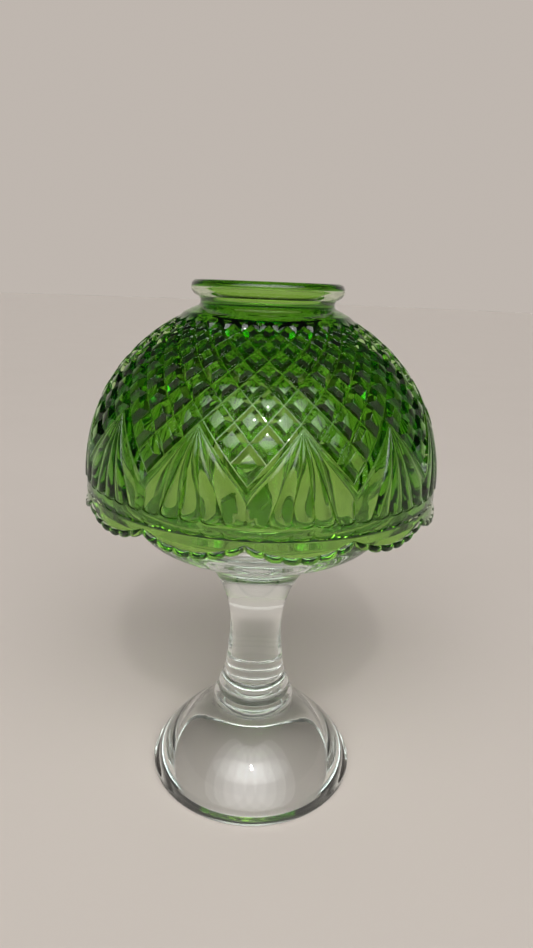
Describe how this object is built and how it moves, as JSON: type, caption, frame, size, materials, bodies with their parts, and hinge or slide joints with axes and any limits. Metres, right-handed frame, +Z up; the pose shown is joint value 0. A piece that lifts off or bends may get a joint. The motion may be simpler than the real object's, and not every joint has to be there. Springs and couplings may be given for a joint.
{
  "type": "fairy lamp",
  "caption": "Pedestal fairy lamp: a clear pressed-glass footed bowl holds a tealight under a lift-off green pressed-glass dome shade with diamonds, fans and an open neck.",
  "frame": {"origin": "middle of the flat ring that the foot stands on", "axes": "+Z up along the lamp's axis, -Y towards the middle of one fan of the shade's pattern"},
  "size_m": [0.1504, 0.1504, 0.2284],
  "materials": {
    "clear_glass": "fire-polished clear pressed glass",
    "green_glass": "fire-polished clear pressed glass with a green stain on its inside",
    "cup_foil": "bright drawn foil",
    "wax": "paraffin wax, soft sheen",
    "wick_cotton": "waxed braided cotton",
    "tab_steel": "tinned steel"
  },
  "bodies": {
    "base": {"pedestal_base": "clear_glass"},
    "shade": {"dome_shade": "green_glass"},
    "candle": {"tealight_cup": "cup_foil", "candle_wax": "wax", "candle_wick": "wick_cotton", "wick_tab": "tab_steel"}
  },
  "joints": [
    {"name": "shade_lift", "type": "slide", "parent": "base", "child": "shade", "axis": [0, 0, 1], "range_m": [0, 0.12]},
    {"name": "candle_lift", "type": "slide", "parent": "base", "child": "candle", "axis": [0, 0, 1], "range_m": [0, 0.045]}
  ]
}
